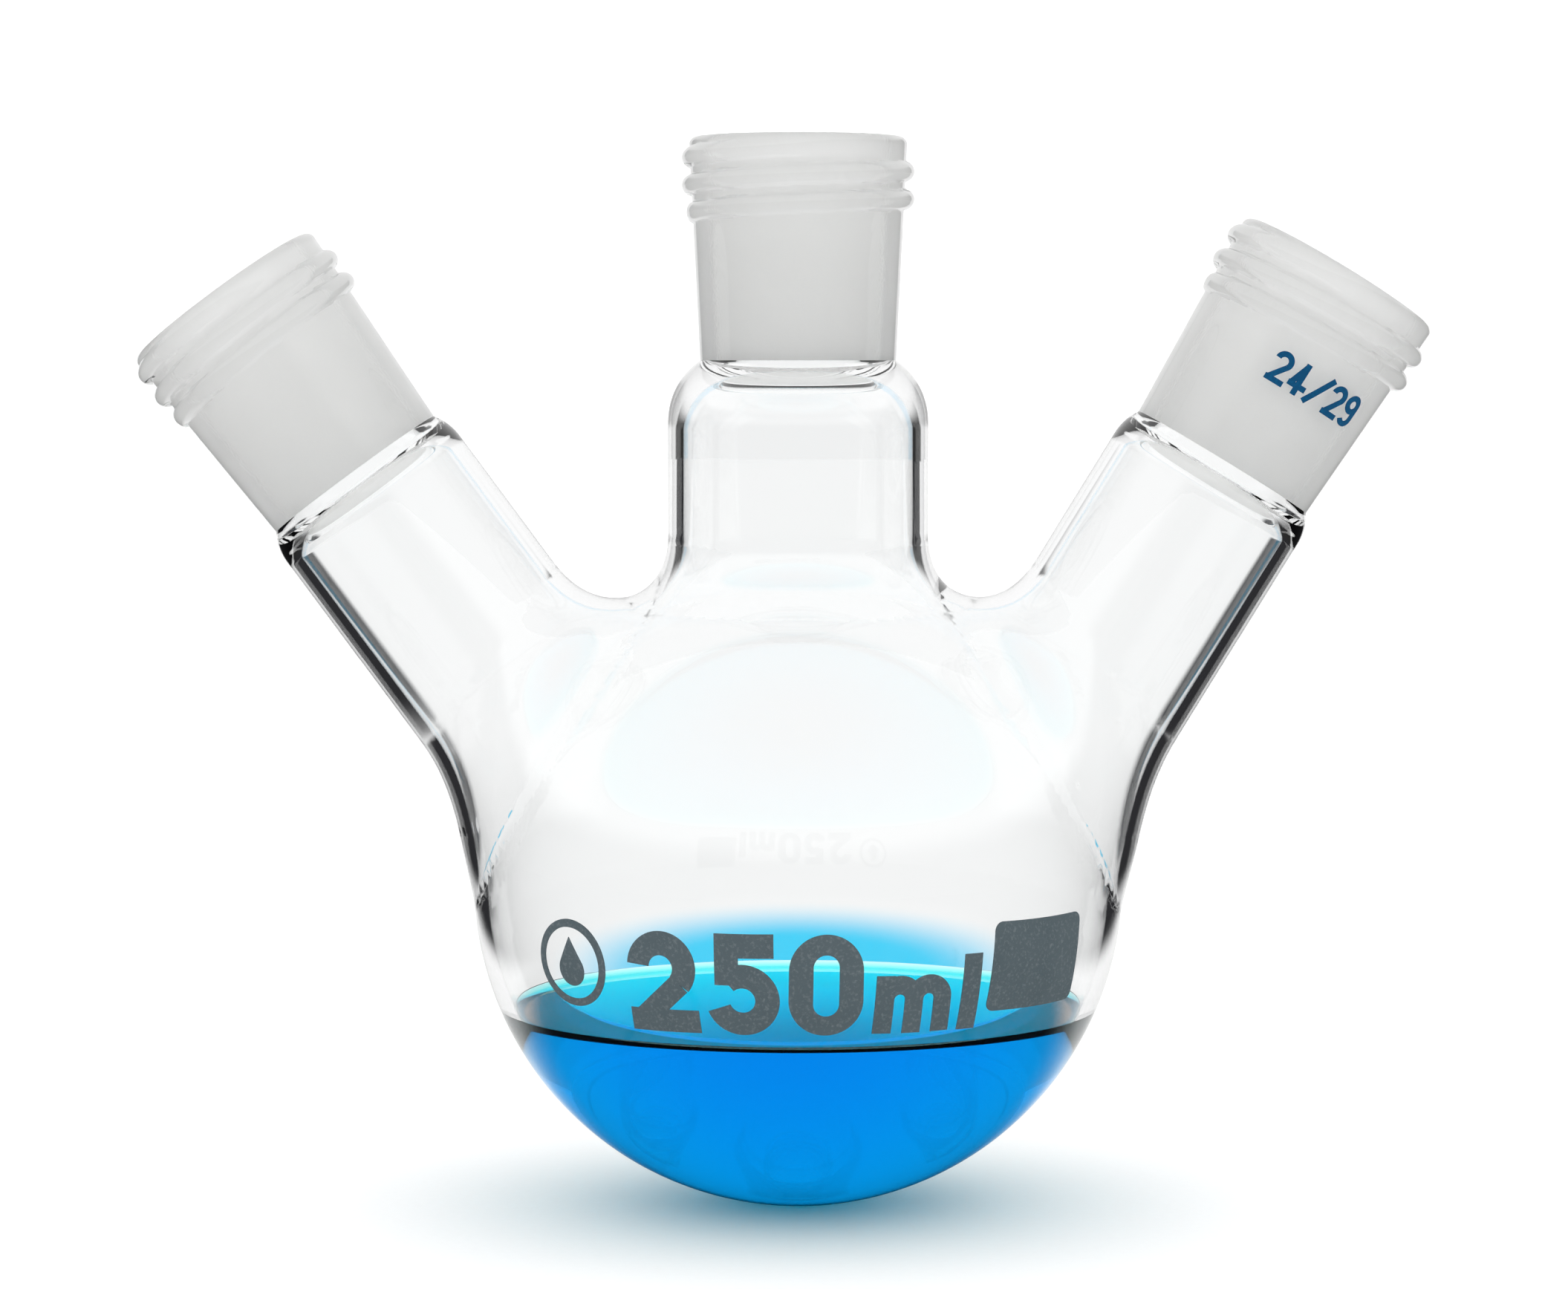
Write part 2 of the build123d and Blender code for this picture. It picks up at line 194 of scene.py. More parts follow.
# %% [markdown]
# Shader maths reads like arithmetic here. A Wire holds one socket, and each operator adds one Math
# node, so that 1 - mask is a node too. The long way is to add and link every node by hand, which
# hides what is worked out.
# %% Wires
class Wire:
    """One socket of a recipe, for use in sums."""

    def __init__(self, recipe, socket):
        self.recipe = recipe
        self.socket = socket

    def math_node(self, operation, first, second):
        return self.recipe.node("ShaderNodeMath", {"operation": operation}, {0: first, 1: second})

    def __add__(self, other):
        return self.math_node("ADD", self, other)

    def __radd__(self, other):
        return self.math_node("ADD", other, self)

    def __sub__(self, other):
        return self.math_node("SUBTRACT", self, other)

    def __rsub__(self, other):
        return self.math_node("SUBTRACT", other, self)

    def __mul__(self, other):
        return self.math_node("MULTIPLY", self, other)

    def __rmul__(self, other):
        return self.math_node("MULTIPLY", other, self)

    def unsigned(self):
        return self.math_node("ABSOLUTE", self, 0.0)

    def at_most(self, limit):
        return self.math_node("MINIMUM", self, limit)

    def at_least(self, limit):
        return self.math_node("MAXIMUM", self, limit)

    def above(self, limit):
        """1 where the value is above the limit, else 0."""
        return self.math_node("GREATER_THAN", self, limit)

    def eased(self, start, end):
        """A smooth step from 0 at the start to 1 at the end."""
        steps = {"Value": self, "From Min": start, "From Max": end}
        return self.recipe.node("ShaderNodeMapRange", {"interpolation_type": "SMOOTHSTEP"}, steps)


print("wires ready")


# %% [markdown]
# A Recipe is the node tree of one finish. Its node method makes every node there is: it takes the
# kind, then the settings, then what goes into the sockets, a number or a wire. The other methods are
# the few mixes that several finishes of this flask share.
# %% Recipes
class Recipe:
    """The node tree of one material or of the world."""

    def __init__(self, owner):
        owner.use_nodes = True
        self.tree = owner.node_tree
        self.tree.nodes.clear()

    def node(self, kind, settings=None, inputs=None, output=0):
        """Makes one node and gives a wire from one of its outputs."""
        made = self.tree.nodes.new(kind)
        for key, value in (settings or {}).items():
            if key == "stops":
                self.set_stops(made.color_ramp, value)
            else:
                setattr(made, key, value)
        for key, value in (inputs or {}).items():
            if isinstance(value, Wire):
                self.tree.links.new(value.socket, made.inputs[key])
            else:
                made.inputs[key].default_value = value
        return Wire(self, made.outputs[output]) if made.outputs else None

    def set_stops(self, ramp, stops):
        for place, (position, color) in enumerate(stops):
            stop = ramp.elements[place] if place < 2 else ramp.elements.new(position)
            stop.position = position
            stop.color = color

    def grain(self, scale, detail=2.0, roughness=0.5):
        """Noise in the object's own space. The scale is in waves per metre."""
        place = self.node("ShaderNodeTexCoord", output="Object")
        inputs = {"Vector": place, "Scale": scale, "Detail": detail, "Roughness": roughness}
        return self.node("ShaderNodeTexNoise", None, inputs, "Fac")

    def blend_colors(self, factor, first, second):
        """A colour between two, by a factor. A colour is a triple or a wire."""
        colors = [color if isinstance(color, Wire) else (*color, 1.0) for color in (first, second)]
        inputs = {"Factor": factor, 6: colors[0], 7: colors[1]}
        return self.node("ShaderNodeMix", {"data_type": "RGBA"}, inputs, 2)

    def bump(self, height, strength, distance):
        inputs = {"Height": height, "Strength": strength, "Distance": distance}
        return self.node("ShaderNodeBump", None, inputs, "Normal")

    def finish(self, surface, volume=None):
        inputs = {"Surface": surface}
        if volume:
            inputs["Volume"] = volume
        self.node("ShaderNodeOutputMaterial", None, inputs)


def new_material(name):
    """An empty material and its recipe."""
    material = bpy.data.materials.new(name)
    return material, Recipe(material)


print("recipes ready")


# %% [markdown]
# Borosilicate glass is clear, but never perfect: the blown wall is a little wavy, the polish carries
# faint smears, and its tint is hardly visible. A clean glass shader looks like a computer's. Slow noise
# in the normal bends the surface as blowing does, and finer noise in the roughness gives the smears.
# %% Clear glass
def clear_glass():
    material, recipe = new_material("clear_borosilicate")
    tint = recipe.blend_colors(recipe.grain(22.0), (0.975, 0.985, 0.985), (1.0, 1.0, 1.0))
    smears = recipe.grain(160.0, 4.0)
    wave = recipe.bump(recipe.grain(38.0, 1.0), 0.25, 0.15 * MM)
    inputs = {
        "Base Color": tint,
        "Roughness": smears * 0.012,
        "IOR": 1.473,
        "Transmission Weight": 1.0,
        "Normal": wave,
    }
    recipe.finish(recipe.node("ShaderNodeBsdfPrincipled", None, inputs))
    return material


glass_finish = clear_glass()
print("material", glass_finish.name)


# %% [markdown]
# The bore of a socket is ground with grit, so it scatters light and looks like frost. The grinding
# leaves a fine grain that is rougher in some places than in others. Rough glass alone would still show
# what is behind it, so part of the light is scattered as from paper.
# %% Ground glass
def ground_glass():
    material, recipe = new_material("ground_bore")
    cloud = recipe.grain(120.0, 3.0)
    grit = recipe.grain(2600.0, 3.0, 0.7)
    inputs = {
        "Base Color": recipe.blend_colors(cloud, (0.94, 0.94, 0.93), (0.975, 0.975, 0.965)),
        "Roughness": cloud * 0.14 + 0.58,
        "IOR": 1.473,
        "Transmission Weight": 0.36,
        "Normal": recipe.bump(grit, 0.35, 0.05 * MM),
    }
    recipe.finish(recipe.node("ShaderNodeBsdfPrincipled", None, inputs))
    return material


ground_finish = ground_glass()
print("material", ground_finish.name)


# %% [markdown]
# The flask is one body of glass on the real object. Here it is made of pieces that meet face to face,
# and a face inside solid glass must not bend light. Leaving those faces out would open the meshes, so
# they stay and get a fully transparent finish.
# %% Seam
def seam_skin():
    material, recipe = new_material("inner_seam")
    recipe.finish(recipe.node("ShaderNodeBsdfTransparent"))
    return material


seam_finish = seam_skin()
glass_slots = [glass_finish, seam_finish, ground_finish]
CLEAR, SEAM, GROUND = range(len(glass_slots))
print("material", seam_finish.name)


# %% [markdown]
# The liquid is water with a blue dye. The dye takes out red at once and green slowly, so a thin layer
# looks cyan and a thick one deep blue. A blue surface colour can't do that, and absorption inside the
# liquid gives exactly that.
# %% Blue liquid
def dyed_water():
    material, recipe = new_material("dyed_water")
    ripple = recipe.bump(recipe.grain(45.0, 1.0), 0.04, 0.1 * MM)
    inputs = {
        "Base Color": recipe.blend_colors(recipe.grain(30.0), (0.97, 0.99, 1.0), (1.0, 1.0, 1.0)),
        "Roughness": 0.0,
        "IOR": 1.333,
        "Transmission Weight": 1.0,
        "Normal": ripple,
    }
    surface = recipe.node("ShaderNodeBsdfPrincipled", None, inputs)
    dye = {"Color": (0.0, 0.9926, 0.9997, 1.0), "Density": 2400.0}
    recipe.finish(surface, recipe.node("ShaderNodeVolumeAbsorption", None, dye))
    return material


liquid_finish = dyed_water()
print("material", liquid_finish.name)


# %% [markdown]
# The prints are enamel, screen-printed and fired on. The paint is matt and its grain lets a little
# glass through as pale specks. The frame's own plates stand proud of the glass by the paint's
# thickness, so they are kept and only get this finish.
# %% Enamel
def enamel(name, dark, light):
    material, recipe = new_material(name)
    specks = recipe.node(
        "ShaderNodeValToRGB",
        {"stops": [(0.52, (0.0, 0.0, 0.0, 1.0)), (0.74, (1.0, 1.0, 1.0, 1.0))]},
        {"Fac": recipe.grain(2400.0, 2.0, 0.6)},
    )
    cloud = recipe.grain(180.0, 3.0)
    inputs = {
        "Base Color": recipe.blend_colors(specks * 0.6 + cloud * 0.3, dark, light),
        "Roughness": cloud * 0.2 + 0.55,
        "Specular IOR Level": 0.12,
        "Normal": recipe.bump(specks, 0.3, 0.03 * MM),
    }
    recipe.finish(recipe.node("ShaderNodeBsdfPrincipled", None, inputs))
    return material


grey_enamel = enamel("grey_enamel", (0.062, 0.085, 0.097), (0.14, 0.165, 0.175))
blue_enamel = enamel("blue_enamel", (0.0, 0.05, 0.13), (0.0, 0.09, 0.21))
paints = {
    "capacity_numerals": grey_enamel,
    "capacity_unit": grey_enamel,
    "write_on_patch": grey_enamel,
    "droplet_mark": grey_enamel,
    "joint_size_mark": blue_enamel,
}
for print_name, paint in paints.items():
    plate_materials = frame["nodes"][print_name].data.materials
    plate_materials.clear()
    plate_materials.append(paint)
    print(print_name, "in", paint.name)


# %% [markdown]
# The bulb with its three stubs is blown and welded, so no edge on it is sharp. Joining a ball and
# tubes with a boolean leaves hard seams. A distance is easier: negative in the glass body, positive
# outside it, zero on its skin. A soft minimum melts two distances together like a weld does.
# %% Soft weld
def soft_union(first, second, reach):
    """The smaller of two distances, melted together where they are within reach of each other."""
    reach = np.maximum(reach, 1e-7)
    share = np.clip(0.5 + 0.5 * (second - first) / reach, 0.0, 1.0)
    return second + (first - second) * share - reach * share * (1.0 - share)


def ease(value):
    """A smooth step from 0 to 1."""
    value = np.clip(value, 0.0, 1.0)
    return value * value * (3.0 - 2.0 * value)


print("two walls that meet melt by", float(soft_union(0.0, 0.0, side_blend)))


# %% [markdown]
# The middle tube is a plain tube. A side tube flares: below a certain height its wall follows an arc
# outwards, and then runs straight to the bulb at the angle where the arc ends. The weld melts more
# and more on the way up, so that it ends softly at the top of the sweep.
# %% Distance to a tube
stub_spare = 3.0 * MM  # a stub runs on past its weld, and is cut square there later


def tube_distance(points, neck, radius, length):
    """Distance to one tube, with its sweep into the bulb, and how much it melts into the bulb."""
    from_origin = points - neck.origin
    height = from_origin @ neck.axis
    around = np.linalg.norm(from_origin - height[:, None] * neck.axis, axis=1)
    if neck.sweep == 0.0:
        wall = np.maximum(around - radius, -height)
        return np.maximum(wall, height - length), np.ones_like(height)
    sweep = neck.sweep + neck.radius - radius
    longest_drop = sweep * math.sin(neck.turn)
    drop = np.clip(neck.flare - height, 0.0, longest_drop)
    bowed = sweep - np.sqrt(sweep**2 - drop**2)
    below = np.maximum(neck.flare - height - longest_drop, 0.0)
    slope = np.sqrt(1.0 - (drop / sweep) ** 2)
    wall = (around - radius - bowed - below * math.tan(neck.turn)) * slope
    end_radius = radius + sweep * (1.0 - math.cos(neck.turn))
    end_height = neck.flare - longest_drop
    run_in = end_height * math.cos(neck.turn) - (neck.offset + end_radius) * math.sin(neck.turn)
    foot = end_height - run_in * math.cos(neck.turn)
    melt = ease((height - foot) / (neck.flare - foot))
    return np.maximum(np.maximum(wall, foot - height), height - length), melt


middle_tube = necks[1]
on_wall = np.array([middle_tube.place(middle_tube.radius, 0.0, middle_tube.weld)])
off_wall, _ = tube_distance(on_wall, middle_tube, middle_tube.radius, middle_tube.rim)
print("distance on the middle tube's wall", round(float(off_wall[0]), 6))


# %% [markdown]
# The inner skin is the same shape one wall further in. In a soft weld the distance grows more slowly
# than it should, which would leave a thick dark web of glass there, so the inner skin is moved by how
# slowly it grows.
# %% Distance to the body
least_steepness = 0.4  # the correction goes no further than this


def melted_distance(points, inside):
    """The ball and the three tubes melted together, at their outer or at their inner sizes."""
    ball = np.linalg.norm(points - ball_centre, axis=1) - (ball_radius - (ball_wall if inside else 0.0))
    body = ball
    for neck in necks:
        wall = neck.wall if inside else 0.0
        tube, melt = tube_distance(points, neck, neck.radius - wall, neck.weld + stub_spare)
        body = soft_union(body, tube, neck.blend * melt)
    return body


def body_distance(points, inside):
    """Distance to the outer skin of the bulb, or to its inner skin, one wall further in."""
    melted = melted_distance(points, inside)
    if not inside:
        return melted
    step = 0.05 * MM
    outer = melted_distance(points, False)
    climbs = [melted_distance(points + step * way, False) - outer for way in np.eye(3)]
    steepness = np.linalg.norm(climbs, axis=0) / step
    return melted + side_wall * (np.clip(steepness, least_steepness, 1.0) - 1.0)


def body_slope(points, inside):
    """Unit direction in which the distance grows."""
    step = 0.02 * MM
    slope = np.zeros_like(points)
    for axis in range(3):
        ahead = points.copy()
        behind = points.copy()
        ahead[:, axis] += step
        behind[:, axis] -= step
        slope[:, axis] = body_distance(ahead, inside) - body_distance(behind, inside)
    return slope / np.maximum(np.linalg.norm(slope, axis=1), 1e-12)[:, None]


equator = np.array([[0.0, -ball_radius, ball_radius]])
print("distance at the equator", round(float(body_distance(equator, False)[0]), 6))


# %% [markdown]
# The zero of the distance becomes a mesh of quads. A grid of cells is laid over the bulb, each cell
# that the skin passes through gets a vertex, and neighbours are joined. Metaballs would do the same,
# but they don't hold a size.
# %% Net over the skin
cell = 1.15 * MM
net_half_width = 62.0 * MM  # as far out as the side stubs reach
net_height = 96.0 * MM
net_spare = 2.0 * MM


def net_quads(full, number):
    """A quad round every grid line that enters or leaves the body."""
    quads = []
    for axis in range(3):
        one, two = np.eye(3, dtype=int)[(axis + 1) % 3], np.eye(3, dtype=int)[(axis + 2) % 3]
        here = np.take(full, range(full.shape[axis] - 1), axis)
        after = np.take(full, range(1, full.shape[axis]), axis)
        for start, turned in ((here & ~after, False), (after & ~here, True)):
            place = np.argwhere(start)
            ring = [number[tuple((place + move).T)] for move in (-one - two, -two, 0 * one, -one)]
            quads.append(np.stack(ring[::-1] if turned else ring, axis=1))
    return np.concatenate(quads)


def skin_net(inside):
    """Vertices and quads on the skin."""
    reach = ball_radius + net_spare
    low = np.array([-net_half_width, -reach, -net_spare])
    counts = [int(round(span / cell)) for span in (2 * net_half_width, 2 * reach, net_height)]
    lines = [low[axis] + cell * np.arange(counts[axis]) for axis in range(3)]
    grid = np.stack(np.meshgrid(*lines, indexing="ij"), axis=-1)
    full = (body_distance(grid.reshape(-1, 3), inside) < 0.0).reshape(counts)
    corners = np.zeros([count - 1 for count in counts], int)
    along, back, up = corners.shape
    for i, j, k in np.ndindex(2, 2, 2):
        corners += full[i : i + along, j : j + back, k : k + up]
    crossed = (corners > 0) & (corners < 8)
    number = np.full(corners.shape, -1)
    number[crossed] = np.arange(crossed.sum())
    vertices = low + cell * (np.argwhere(crossed) + 0.5)
    return vertices, net_quads(full, number)


outer_vertices, outer_quads = skin_net(False)
inner_vertices, inner_quads = skin_net(True)
print("outer net", len(outer_quads), "quads, inner net", len(inner_quads))


# %% [markdown]
# So far the net is a staircase. It is relaxed and pulled onto the skin in turns: relaxing spaces the
# vertices evenly, and the pull goes along the slope by the distance that is left.
# %% Even net
relax_rounds = 6
relax_share = 0.6
pulls = 2


def pulled_to_skin(vertices, inside):
    """Moves every vertex onto the skin."""
    for _ in range(pulls):
        distance = body_distance(vertices, inside)
        vertices = vertices - body_slope(vertices, inside) * distance[:, None]
    return vertices


def relaxed(vertices, quads, inside):
    """Evens out the net and pulls it onto the skin, a few times over."""
    starts = quads.reshape(-1)
    ends = np.roll(quads, -1, axis=1).reshape(-1)
    count = np.zeros(len(vertices))
    np.add.at(count, starts, 1)
    for _ in range(relax_rounds):
        total = np.zeros_like(vertices)
        np.add.at(total, starts, vertices[ends])
        vertices = vertices + relax_share * (total / count[:, None] - vertices)
        vertices = pulled_to_skin(vertices, inside)
    return pulled_to_skin(vertices, inside)


outer_vertices = relaxed(outer_vertices, outer_quads, False)
inner_vertices = relaxed(inner_vertices, inner_quads, True)
print("outer skin off by", float(np.abs(body_distance(outer_vertices, False)).max()))


# %% [markdown]
# A stub ends where its tube is welded on, in a flat ring. Both nets are cut square there, and their
# open rims are set on true circles, so that they meet the turned tube exactly. Edges and vertices go
# in as dictionary keys, which keep their order, because a set shuffles them and then the faces at the
# cut come out split another way on each run.
# %% Cuts at the welds
cut_reach = 6.0 * MM  # only faces this near to the end of a stub are cut
on_plane = 0.02 * MM
near_circle = 0.5 * MM


def cut_stub(net, neck):
    """Cuts a net square at one neck's weld plane."""
    plane_point = Vector(neck.origin + neck.axis * neck.weld)
    axis = Vector(neck.axis)
    origin = Vector(neck.origin)
    faces = []
    for face in net.faces:
        middle = face.calc_center_median() - origin
        height = middle.dot(axis)
        if height > neck.weld - cut_reach and (middle - axis * height).length < neck.radius + cut_reach:
            faces.append(face)
    edges = dict.fromkeys(edge for face in faces for edge in face.edges)
    verts = dict.fromkeys(vert for face in faces for vert in face.verts)
    cut = {"plane_co": plane_point, "plane_no": axis, "clear_outer": True, "dist": 1e-7}
    bmesh.ops.bisect_plane(net, geom=[*faces, *edges, *verts], **cut)


def stub_rim(net, neck, radius):
    """The open edges of a net near one weld circle, set on the circle."""
    axis = Vector(neck.axis)
    centre = Vector(neck.origin) + axis * neck.weld
    rim = []
    for edge in net.edges:
        if edge.is_boundary and all(abs((v.co - centre).dot(axis)) < on_plane for v in edge.verts):
            if all(abs((v.co - centre).length - radius) < near_circle for v in edge.verts):
                rim.append(edge)
    for vert in dict.fromkeys(v for edge in rim for v in edge.verts):
        outward = vert.co - centre
        outward -= axis * outward.dot(axis)
        vert.co = centre + outward.normalized() * radius
    return rim


print("stubs are cut at", [round(neck.weld, 4) for neck in necks])


# %% [markdown]
# The bulb is one closed solid of glass: an outer net, an inner net turned inside out, and a ring of
# faces at each stub that joins the two. A thin shell with a Solidify modifier can't keep both skins
# exact at the welds.
# %% Bulb mesh
def add_net(net, vertices, quads, inside):
    """Adds one skin to a net, with its faces looking out of the glass."""
    verts = [net.verts.new(place) for place in vertices]
    for quad in quads:
        corners = [verts[index] for index in quad]
        net.faces.new(corners[::-1] if inside else corners)


def blown_bulb():
    """The bulb and its stubs as one closed mesh."""
    net = bmesh.new()
    add_net(net, outer_vertices, outer_quads, False)
    add_net(net, inner_vertices, inner_quads, True)
    for neck in necks:
        cut_stub(net, neck)
    for neck in necks:
        outer = stub_rim(net, neck, neck.radius)
        inner = stub_rim(net, neck, neck.radius - neck.wall)
        made = bmesh.ops.bridge_loops(net, edges=outer + inner)
        for face in made["faces"]:
            face.material_index = SEAM
        print(neck.name, "stub rim", len(outer), "+", len(inner), "edges")
    loose = [vert for vert in net.verts if not vert.link_faces]
    bmesh.ops.delete(net, geom=loose, context="VERTS")
    bmesh.ops.recalc_face_normals(net, faces=net.faces)
    open_edges = sum(1 for edge in net.edges if not edge.is_manifold)
    mesh = bpy.data.meshes.new("blown_bulb")
    net.to_mesh(mesh)
    net.free()
    print("open edges", open_edges, "faces", len(mesh.polygons))
    return mesh


bulb_mesh = blown_bulb()


# %% [markdown]
# Glass shows every facet, because each one bends the light its own way. So the normals don't come
# from the faces but from the slope of the distance, which is exact. The print lies on the glass, so
# the outer skin also goes a hair under it.
# %% Exact normals
print_gap = 0.01 * MM


def set_skin_normals(mesh):
    """Gives every corner the slope of the skin that it lies on, and flat rings their own."""
    places = np.zeros(len(mesh.vertices) * 3, np.float32)
    mesh.vertices.foreach_get("co", places)
    places = places.reshape(-1, 3).astype(float)
    on_inner = np.abs(body_distance(places, True)) < np.abs(body_distance(places, False))
    slope = np.where(on_inner[:, None], -body_slope(places, True), body_slope(places, False))
    normals = []
    for face in mesh.polygons:
        flat = face.material_index == SEAM
        for index in face.vertices:
            normals.append(face.normal if flat else Vector(slope[index]))
    mesh.polygons.foreach_set("use_smooth", [True] * len(mesh.polygons))
    lifted = places - np.where(on_inner[:, None], 0.0, slope * print_gap)
    mesh.vertices.foreach_set("co", lifted.astype(np.float32).reshape(-1))
    mesh.normals_split_custom_set([tuple(normal) for normal in normals])


set_skin_normals(bulb_mesh)
print("normals set on", len(bulb_mesh.vertices), "vertices")


# %% [markdown]
# Each piece of glass stands in for one node of the frame and rides on the frame's body, so that the flask
# keeps the design's parts. Its slot says what it is made of.
# %% Bulb
def add_piece(name, mesh, slots, node_name):
    """A piece of the flask that stands for one node of the frame."""
    for material in slots:
        mesh.materials.append(material)
    piece = bpy.data.objects.new(name, mesh)
    bpy.context.collection.objects.link(piece)
    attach(piece, next(iter(frame["bodies"])))
    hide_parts(node_name)
    return piece


bulb = add_piece("blown_bulb", bulb_mesh, glass_slots[:2], "bulb")
print("bulb", len(bulb.data.polygons), "faces")


# %% [markdown]
# Tubes and sockets are turned shapes, as they are on a glass lathe. An outline of radius and height
# runs up the outside, over the end and down the inside, and each of its stretches knows its finish.
# %% Outlines
class Outline:
    """A closed outline of (radius, height) points, with the finish of the stretch after each."""

    def __init__(self):
        self.points = []
        self.finishes = []

    def add(self, radius, height, finish=CLEAR):
        self.points.append((radius, height))
        self.finishes.append(finish)

    def straight(self, start, end, steps, finish=CLEAR):
        """Points from the start up to, but without, the end."""
        for step in range(steps):
            share = step / steps
            self.add(*(a + (b - a) * share for a, b in zip(start, end)), finish)

    def arc(self, centre, radius, start, end, steps, finish=CLEAR):
        """Points along an arc between two angles, without the last."""
        for step in range(steps):
            angle = start + (end - start) * step / steps
            self.add(centre[0] + radius * math.cos(angle), centre[1] + radius * math.sin(angle), finish)


print("outlines ready")


# %% [markdown]
# Turning an outline in mesh code takes the place of a Screw modifier, because a thread isn't round:
# here the radius may change with the angle. Edges that bend more than a little stay sharp.
# %% Turning
segments = 176
sharp_from = math.radians(32.0)


def turned_mesh(name, outline, place, radius_at=None):
    """Turns an outline about an axis. place gives a point, radius_at changes a radius by angle."""
    net = bmesh.new()
    rings = []
    for radius, height in outline.points:
        ring = []
        for step in range(segments):
            angle = 2 * math.pi * step / segments
            here = radius_at(radius, height, angle) if radius_at else radius
            ring.append(net.verts.new(place(here, angle, height)))
        rings.append(ring)
    for index, finish in enumerate(outline.finishes):
        ring, after = rings[index], rings[(index + 1) % len(rings)]
        for step in range(segments):
            beside = (step + 1) % segments
            face = net.faces.new((ring[step], ring[beside], after[beside], after[step]))
            face.material_index = finish
            face.smooth = True
    bmesh.ops.remove_doubles(net, verts=net.verts, dist=1e-7)
    mesh = bpy.data.meshes.new(name)
    net.to_mesh(mesh)
    net.free()
    mesh.set_sharp_from_angle(angle=sharp_from)
    return mesh


print("turning with", segments, "segments")


# %% [markdown]
# A neck tube leaves the stub straight and turns in at its shoulder, where the glassblower necked it
# down to the socket. The shoulder is an arc that starts upright and ends at the seam. Inside, the
# lower end of the bore stands proud as a low lip, which catches a dark line.
# %% Neck tubes
lip_drop = 2.0 * MM
lip_step = 0.25 * MM
shoulder_steps = 26
tube_steps = 12
lip_steps = 6


def shoulder_points(tube, seam, bottom, top):
    """Points of the arc from the tube's wall up to the seam's radius."""
    step_in = tube - seam
    height = top - bottom
    arc_radius = (step_in**2 + height**2) / (2 * step_in)
    full = math.atan2(height, arc_radius - step_in)
    centre = tube - arc_radius
    turns = [full * step / shoulder_steps for step in range(shoulder_steps + 1)]
    return [(centre + arc_radius * math.cos(turn), bottom + arc_radius * math.sin(turn)) for turn in turns]


def neck_tube(neck):
    """One neck tube from its weld to the seam under the socket."""
    bore = neck.radius - neck.wall
    turn_in = neck.seam - neck.shoulder
    lip_foot = neck.seam - lip_drop
    lip_radius = bore_small - lip_step / 3
    lip_round = lip_foot + lip_drop / 8
    outer = shoulder_points(neck.radius, bore_small + socket_wall, turn_in, neck.seam)
    inner = shoulder_points(bore, bore_small + lip_step, turn_in - lip_drop / 2, lip_foot)
    outline = Outline()
    outline.straight((neck.radius, neck.weld), outer[0], tube_steps)
    for point in outer[:-1]:
        outline.add(*point)
    outline.add(*outer[-1], SEAM)
    outline.straight((bore_small, neck.seam), (lip_radius, lip_round), lip_steps)
    outline.add(lip_radius, lip_round)
    outline.add(bore_small, lip_foot)
    for point in inner[:0:-1]:
        outline.add(*point)
    outline.straight(inner[0], (bore, neck.weld), tube_steps)
    outline.add(bore, neck.weld, SEAM)
    name = neck.name + "_neck_tube"
    mesh = turned_mesh(name, outline, neck.place)
    return add_piece(name, mesh, glass_slots[:2], neck.name + "_neck")


for neck in necks:
    tube = neck_tube(neck)
    print(tube.name, len(tube.data.polygons), "faces")


# %% [markdown]
# Outside a socket, a thread for a screw cap is pressed into the hot glass, as a round ridge that
# climbs 2 1/4 turns and fades in and out. A ridge swept along a helix would cut into the wall, so the
# wall's own radius grows where the ridge passes, and the two melt together.
# %% Thread
thread_bottom = joint_length - thread_top - thread_rise
ridge_axis = thread_crest - ridge_radius
full_turns = thread_rise / thread_pitch
fade_turns = 0.12
rim_depth = 1.01 * rim_outer_round  # what lies deeper in the wall than this belongs to the bore


def outer_wall(level):
    """The radius of a plain socket at a level above the seam."""
    return bore_small + socket_wall + level * joint_taper / 2


def threaded_radius(radius, level, angle):
    """The outer radius of a socket at a level and an angle, ridge included."""
    if radius < outer_wall(level) - rim_depth:
        return radius
    past_start = ((angle - thread_start) / (2 * math.pi)) % 1.0
    best = radius
    for whole in range(int(full_turns) + 1):
        turns = past_start + whole
        ends = min(turns, full_turns - turns)
        if ends < -fade_turns:
            continue
        strength = float(ease((ends + fade_turns) / (2 * fade_turns)))
        away = level - thread_bottom - turns * thread_pitch
        if abs(away) < ridge_radius:
            ridge = ridge_axis + math.sqrt(ridge_radius**2 - away**2)
            melted = -float(soft_union(-best, -ridge, ridge_melt))
            best = best + (melted - best) * strength
    return min(best, thread_crest)


print("thread of", round(full_turns, 2), "turns from", round(thread_bottom, 4))


# %% [markdown]
# The bore of a socket is a ground cone, and its rim is fire-polished, so the corners there are round.
# The outline starts at the seam and has many short steps outside, because the thread needs them.
# %% Sockets
wall_steps = 150
outer_round_steps = 8
inner_round_steps = 6
bore_steps = 60


